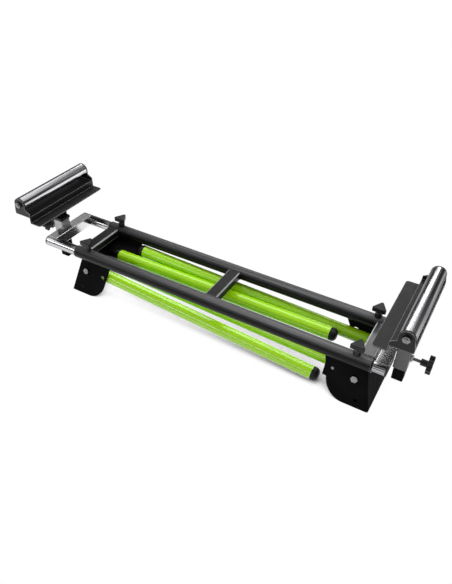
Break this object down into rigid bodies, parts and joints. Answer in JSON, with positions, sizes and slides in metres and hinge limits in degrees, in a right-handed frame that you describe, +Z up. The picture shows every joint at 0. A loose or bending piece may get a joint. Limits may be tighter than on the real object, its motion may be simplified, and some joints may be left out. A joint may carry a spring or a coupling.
{
  "type": "folding miter saw stand",
  "caption": "Folding stand for a miter saw: long twin tube rails, fold-away tube legs on splayed brackets, and sliding extensions that carry height-adjustable roller supports.",
  "frame": {"origin": "on the floor, under the middle of the stand's overall length and depth with the extensions at rest", "axes": "+X along the rails towards the right-hand extension, +Y to the rear, +Z up"},
  "size_m": [1.2976, 0.298, 0.325],
  "materials": {
    "rail_black": "gloss",
    "leg_green": "gloss",
    "chrome_tube": "polished",
    "zinc_steel": "satin",
    "black_plastic": "satin",
    "head_grey": "satin",
    "bright_bolt": "polished",
    "black_rubber": "matt",
    "bush_plastic": "satin"
  },
  "bodies": {
    "frame": {"front_rail": "rail_black", "rear_rail": "rail_black", "left_crossbar": "rail_black", "middle_crossbar": "rail_black", "right_crossbar": "rail_black", "rail_end_bushes": "bush_plastic", "knob_bosses": "black_plastic", "left_leg_bracket": "rail_black", "right_leg_bracket": "rail_black", "pivot_bolts": "bright_bolt", "pivot_washers": "bright_bolt", "pivot_nuts": "bright_bolt"},
    "front_left_leg": {"front_left_leg": "leg_green", "front_left_foot": "black_rubber"},
    "front_left_lock_button": {"front_left_lock_button": "bright_bolt"},
    "front_left_rail_knob": {"front_left_rail_knob": "black_plastic"},
    "rear_left_leg": {"rear_left_leg": "leg_green", "rear_left_foot": "black_rubber", "rear_left_hinge_box": "leg_green"},
    "rear_left_lock_button": {"rear_left_lock_button": "bright_bolt"},
    "rear_left_rail_knob": {"rear_left_rail_knob": "black_plastic"},
    "front_right_leg": {"front_right_leg": "leg_green", "front_right_foot": "black_rubber", "front_right_hinge_box": "leg_green"},
    "front_right_lock_button": {"front_right_lock_button": "bright_bolt"},
    "front_right_rail_knob": {"front_right_rail_knob": "black_plastic"},
    "rear_right_leg": {"rear_right_leg": "leg_green", "rear_right_foot": "black_rubber"},
    "rear_right_lock_button": {"rear_right_lock_button": "bright_bolt"},
    "rear_right_rail_knob": {"rear_right_rail_knob": "black_plastic"},
    "left_extension": {"left_extension_tubes": "chrome_tube", "left_slider_rings": "bush_plastic", "left_extension_end_caps": "black_plastic", "left_extension_crossbar": "zinc_steel", "left_post_socket": "zinc_steel", "left_post_collar": "black_plastic", "left_weld_nut": "bright_bolt"},
    "left_star_knob": {"left_star_knob": "black_plastic"},
    "left_head": {"left_post": "rail_black", "left_roller_bracket": "head_grey", "left_roller_axle": "bright_bolt"},
    "left_roller": {"left_roller": "chrome_tube", "left_roller_end_rings": "bush_plastic"},
    "right_extension": {"right_extension_tubes": "chrome_tube", "right_slider_rings": "bush_plastic", "right_extension_end_caps": "black_plastic", "right_extension_crossbar": "zinc_steel", "right_post_socket": "zinc_steel", "right_post_collar": "black_plastic", "right_weld_nut": "bright_bolt"},
    "right_star_knob": {"right_star_knob": "black_plastic"},
    "right_head": {"right_post": "rail_black", "right_roller_bracket": "head_grey", "right_roller_axle": "bright_bolt"},
    "right_roller": {"right_roller": "chrome_tube", "right_roller_end_rings": "bush_plastic"}
  },
  "joints": [
    {"name": "front_left_leg_fold", "type": "hinge", "parent": "frame", "child": "front_left_leg", "pos_m": [-0.40135, -0.09219, 0.0775], "axis": [0, 0.9613, -0.2756], "range_deg": [0, 101.7]},
    {"name": "front_left_button_press", "type": "slide", "parent": "front_left_leg", "child": "front_left_lock_button", "axis": [0, 0.9613, -0.2756], "range_m": [0, 0.005], "stiffness_N_per_m": 600, "springref_m": -0.002},
    {"name": "front_left_rail_knob_turn", "type": "hinge", "parent": "frame", "child": "front_left_rail_knob", "pos_m": [-0.39175, -0.0825, 0.135], "axis": [0, 0, 1], "range_deg": [-180, 0]},
    {"name": "rear_left_leg_fold", "type": "hinge", "parent": "frame", "child": "rear_left_leg", "pos_m": [-0.40135, 0.09219, 0.0775], "axis": [0, 0.9613, 0.2756], "range_deg": [0, 105.5]},
    {"name": "rear_left_button_press", "type": "slide", "parent": "rear_left_leg", "child": "rear_left_lock_button", "axis": [0, -0.9613, -0.2756], "range_m": [0, 0.005], "stiffness_N_per_m": 600, "springref_m": -0.002},
    {"name": "rear_left_rail_knob_turn", "type": "hinge", "parent": "frame", "child": "rear_left_rail_knob", "pos_m": [-0.39175, 0.0825, 0.135], "axis": [0, 0, 1], "range_deg": [-180, 0]},
    {"name": "front_right_leg_fold", "type": "hinge", "parent": "frame", "child": "front_right_leg", "pos_m": [0.48585, -0.09219, 0.0775], "axis": [0, -0.9613, 0.2756], "range_deg": [0, 107.2]},
    {"name": "front_right_button_press", "type": "slide", "parent": "front_right_leg", "child": "front_right_lock_button", "axis": [0, 0.9613, -0.2756], "range_m": [0, 0.005], "stiffness_N_per_m": 600, "springref_m": -0.002},
    {"name": "front_right_rail_knob_turn", "type": "hinge", "parent": "frame", "child": "front_right_rail_knob", "pos_m": [0.47625, -0.0825, 0.135], "axis": [0, 0, 1], "range_deg": [-180, 0]},
    {"name": "rear_right_leg_fold", "type": "hinge", "parent": "frame", "child": "rear_right_leg", "pos_m": [0.48585, 0.09219, 0.0775], "axis": [0, -0.9613, -0.2756], "range_deg": [0, 107.5]},
    {"name": "rear_right_button_press", "type": "slide", "parent": "rear_right_leg", "child": "rear_right_lock_button", "axis": [0, -0.9613, -0.2756], "range_m": [0, 0.005], "stiffness_N_per_m": 600, "springref_m": -0.002},
    {"name": "rear_right_rail_knob_turn", "type": "hinge", "parent": "frame", "child": "rear_right_rail_knob", "pos_m": [0.47625, 0.0825, 0.135], "axis": [0, 0, 1], "range_deg": [-180, 0]},
    {"name": "left_extension_slide", "type": "slide", "parent": "frame", "child": "left_extension", "axis": [-1, 0, 0], "range_m": [-0.0845, 0.2705]},
    {"name": "left_star_knob_turn", "type": "hinge", "parent": "left_extension", "child": "left_star_knob", "pos_m": [-0.57575, 0, 0.128], "axis": [-1, 0, 0], "range_deg": [-180, 0]},
    {"name": "left_head_height", "type": "slide", "parent": "left_extension", "child": "left_head", "axis": [0, 0, 1], "range_m": [-0.027, 0.09]},
    {"name": "left_roller_spin", "type": "hinge", "parent": "left_head", "child": "left_roller", "pos_m": [-0.58575, 0, 0.283], "axis": [0, 1, 0], "continuous": true},
    {"name": "right_extension_slide", "type": "slide", "parent": "frame", "child": "right_extension", "axis": [1, 0, 0], "range_m": [0, 0.355]},
    {"name": "right_star_knob_turn", "type": "hinge", "parent": "right_extension", "child": "right_star_knob", "pos_m": [0.57575, 0, 0.128], "axis": [1, 0, 0], "range_deg": [-180, 0]},
    {"name": "right_head_height", "type": "slide", "parent": "right_extension", "child": "right_head", "axis": [0, 0, 1], "range_m": [-0.049, 0.068]},
    {"name": "right_roller_spin", "type": "hinge", "parent": "right_head", "child": "right_roller", "pos_m": [0.58575, 0, 0.305], "axis": [0, 1, 0], "continuous": true}
  ]
}
